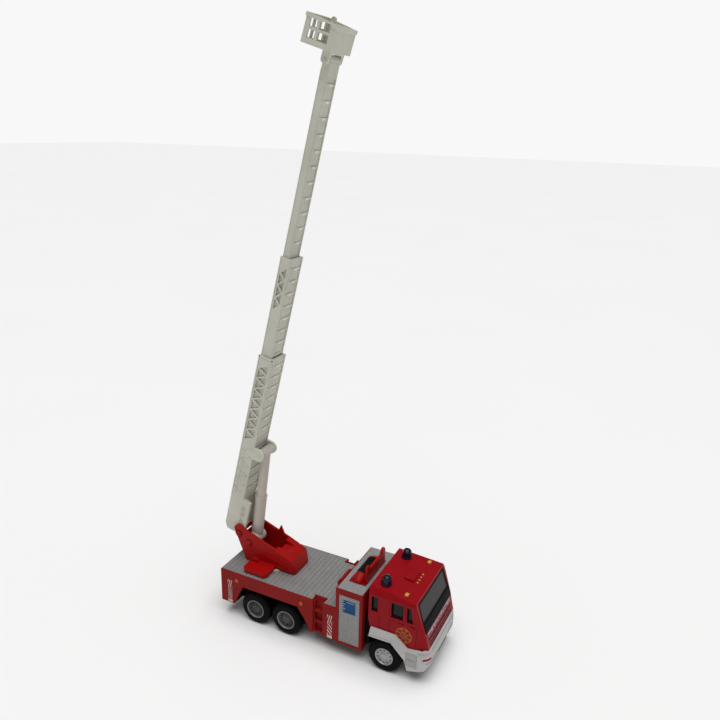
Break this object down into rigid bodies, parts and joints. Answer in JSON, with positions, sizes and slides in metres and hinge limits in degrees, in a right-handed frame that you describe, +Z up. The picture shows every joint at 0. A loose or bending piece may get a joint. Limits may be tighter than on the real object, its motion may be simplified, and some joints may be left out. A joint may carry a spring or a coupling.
{
  "type": "toy fire engine",
  "caption": "Toy fire engine with a tandem rear axle, slewing turntable, raised telescopic ladder, ram and tilting bucket.",
  "frame": {"origin": "middle of the bounding box at the floor, with the ladder raised as displayed", "axes": "+X forward, +Y to the engine's left, +Z up"},
  "size_m": [0.158, 0.0516, 0.3734],
  "materials": {
    "chassis_black": "moulded, fine satin",
    "body_red": "glossy red",
    "plate_silver": "foil-printed planks, satin",
    "hose_black": "ribbed",
    "cab_red": "glossy enamel",
    "glass_smoke": "smoke-tinted clear plastic",
    "trim_white": "satin white",
    "beacon_blue": "translucent dark blue",
    "lamp_amber": "painted",
    "steel": "plain drawn",
    "tyre": "moulded",
    "hub_silver": "plated",
    "ladder_cream": "moulded off-white"
  },
  "bodies": {
    "truck": {"chassis": "chassis_black", "rear_body": "body_red", "deck_plate": "plate_silver", "locker_shutters": "plate_silver", "locker_top": "plate_silver", "hose_roll": "hose_black", "ladder_rest": "body_red", "cab_shell": "cab_red", "cab_glazing": "glass_smoke", "front_black": "chassis_black", "front_trim": "trim_white", "beacons": "beacon_blue", "roof_lamps": "lamp_amber", "side_lamps": "lamp_amber"},
    "front_wheels": {"front_axle": "steel", "front_tyres": "tyre", "front_hubs": "hub_silver"},
    "middle_wheels": {"middle_axle": "steel", "middle_tyres": "tyre", "middle_hubs": "hub_silver"},
    "rear_wheels": {"rear_axle": "steel", "rear_tyres": "tyre", "rear_hubs": "hub_silver"},
    "slewing_base": {"turntable": "body_red", "turntable_ring": "ladder_cream", "hinge_pins": "body_red"},
    "lower_section": {"ladder_lower": "ladder_cream", "ram_top_pin": "ladder_cream"},
    "middle_section": {"ladder_middle": "ladder_cream"},
    "top_section": {"ladder_top": "ladder_cream"},
    "ram_inner": {"ram_rod": "ladder_cream"},
    "ram_outer": {"ram_barrel": "ladder_cream"},
    "basket": {"bucket": "ladder_cream", "bucket_pin": "ladder_cream"}
  },
  "joints": [
    {"name": "front_axle_spin", "type": "hinge", "parent": "truck", "child": "front_wheels", "pos_m": [0.05044, 0, 0.011], "axis": [0, 1, 0], "continuous": true},
    {"name": "middle_axle_spin", "type": "hinge", "parent": "truck", "child": "middle_wheels", "pos_m": [-0.02026, 0, 0.011], "axis": [0, 1, 0], "continuous": true},
    {"name": "rear_axle_spin", "type": "hinge", "parent": "truck", "child": "rear_wheels", "pos_m": [-0.04396, 0, 0.011], "axis": [0, 1, 0], "continuous": true},
    {"name": "turntable_slew", "type": "hinge", "parent": "truck", "child": "slewing_base", "pos_m": [-0.04546, 0, 0.0347], "axis": [0, 0, 1], "continuous": true},
    {"name": "ladder_lift", "type": "hinge", "parent": "slewing_base", "child": "lower_section", "pos_m": [-0.06676, 0, 0.054], "axis": [0, 1, 0], "range_deg": [-6, 74.2]},
    {"name": "middle_slide", "type": "slide", "parent": "lower_section", "child": "middle_section", "axis": [-0.2368, 0, -0.9715], "range_m": [0, 0.06]},
    {"name": "top_slide", "type": "slide", "parent": "middle_section", "child": "top_section", "axis": [-0.2368, 0, -0.9715], "range_m": [0, 0.092]},
    {"name": "bucket_tilt", "type": "hinge", "parent": "top_section", "child": "basket", "pos_m": [-0.00372, 0, 0.35123], "axis": [0, -1, 0], "range_deg": [-10, 78]},
    {"name": "ram_swing", "type": "hinge", "parent": "slewing_base", "child": "ram_outer", "pos_m": [-0.05846, 0, 0.0492], "axis": [0, 1, 0], "range_deg": [-6.5, 76.6]},
    {"name": "ram_stroke", "type": "slide", "parent": "ram_outer", "child": "ram_inner", "axis": [0.1309, 0, 0.9914], "range_m": [-0.0128, 0.0013]}
  ],
  "couplings": [
    {"joint": "ram_swing", "follows": "ladder_lift", "ratio": 1.0254},
    {"joint": "ram_stroke", "follows": "ladder_lift", "m_per_rad": -0.0093717}
  ]
}
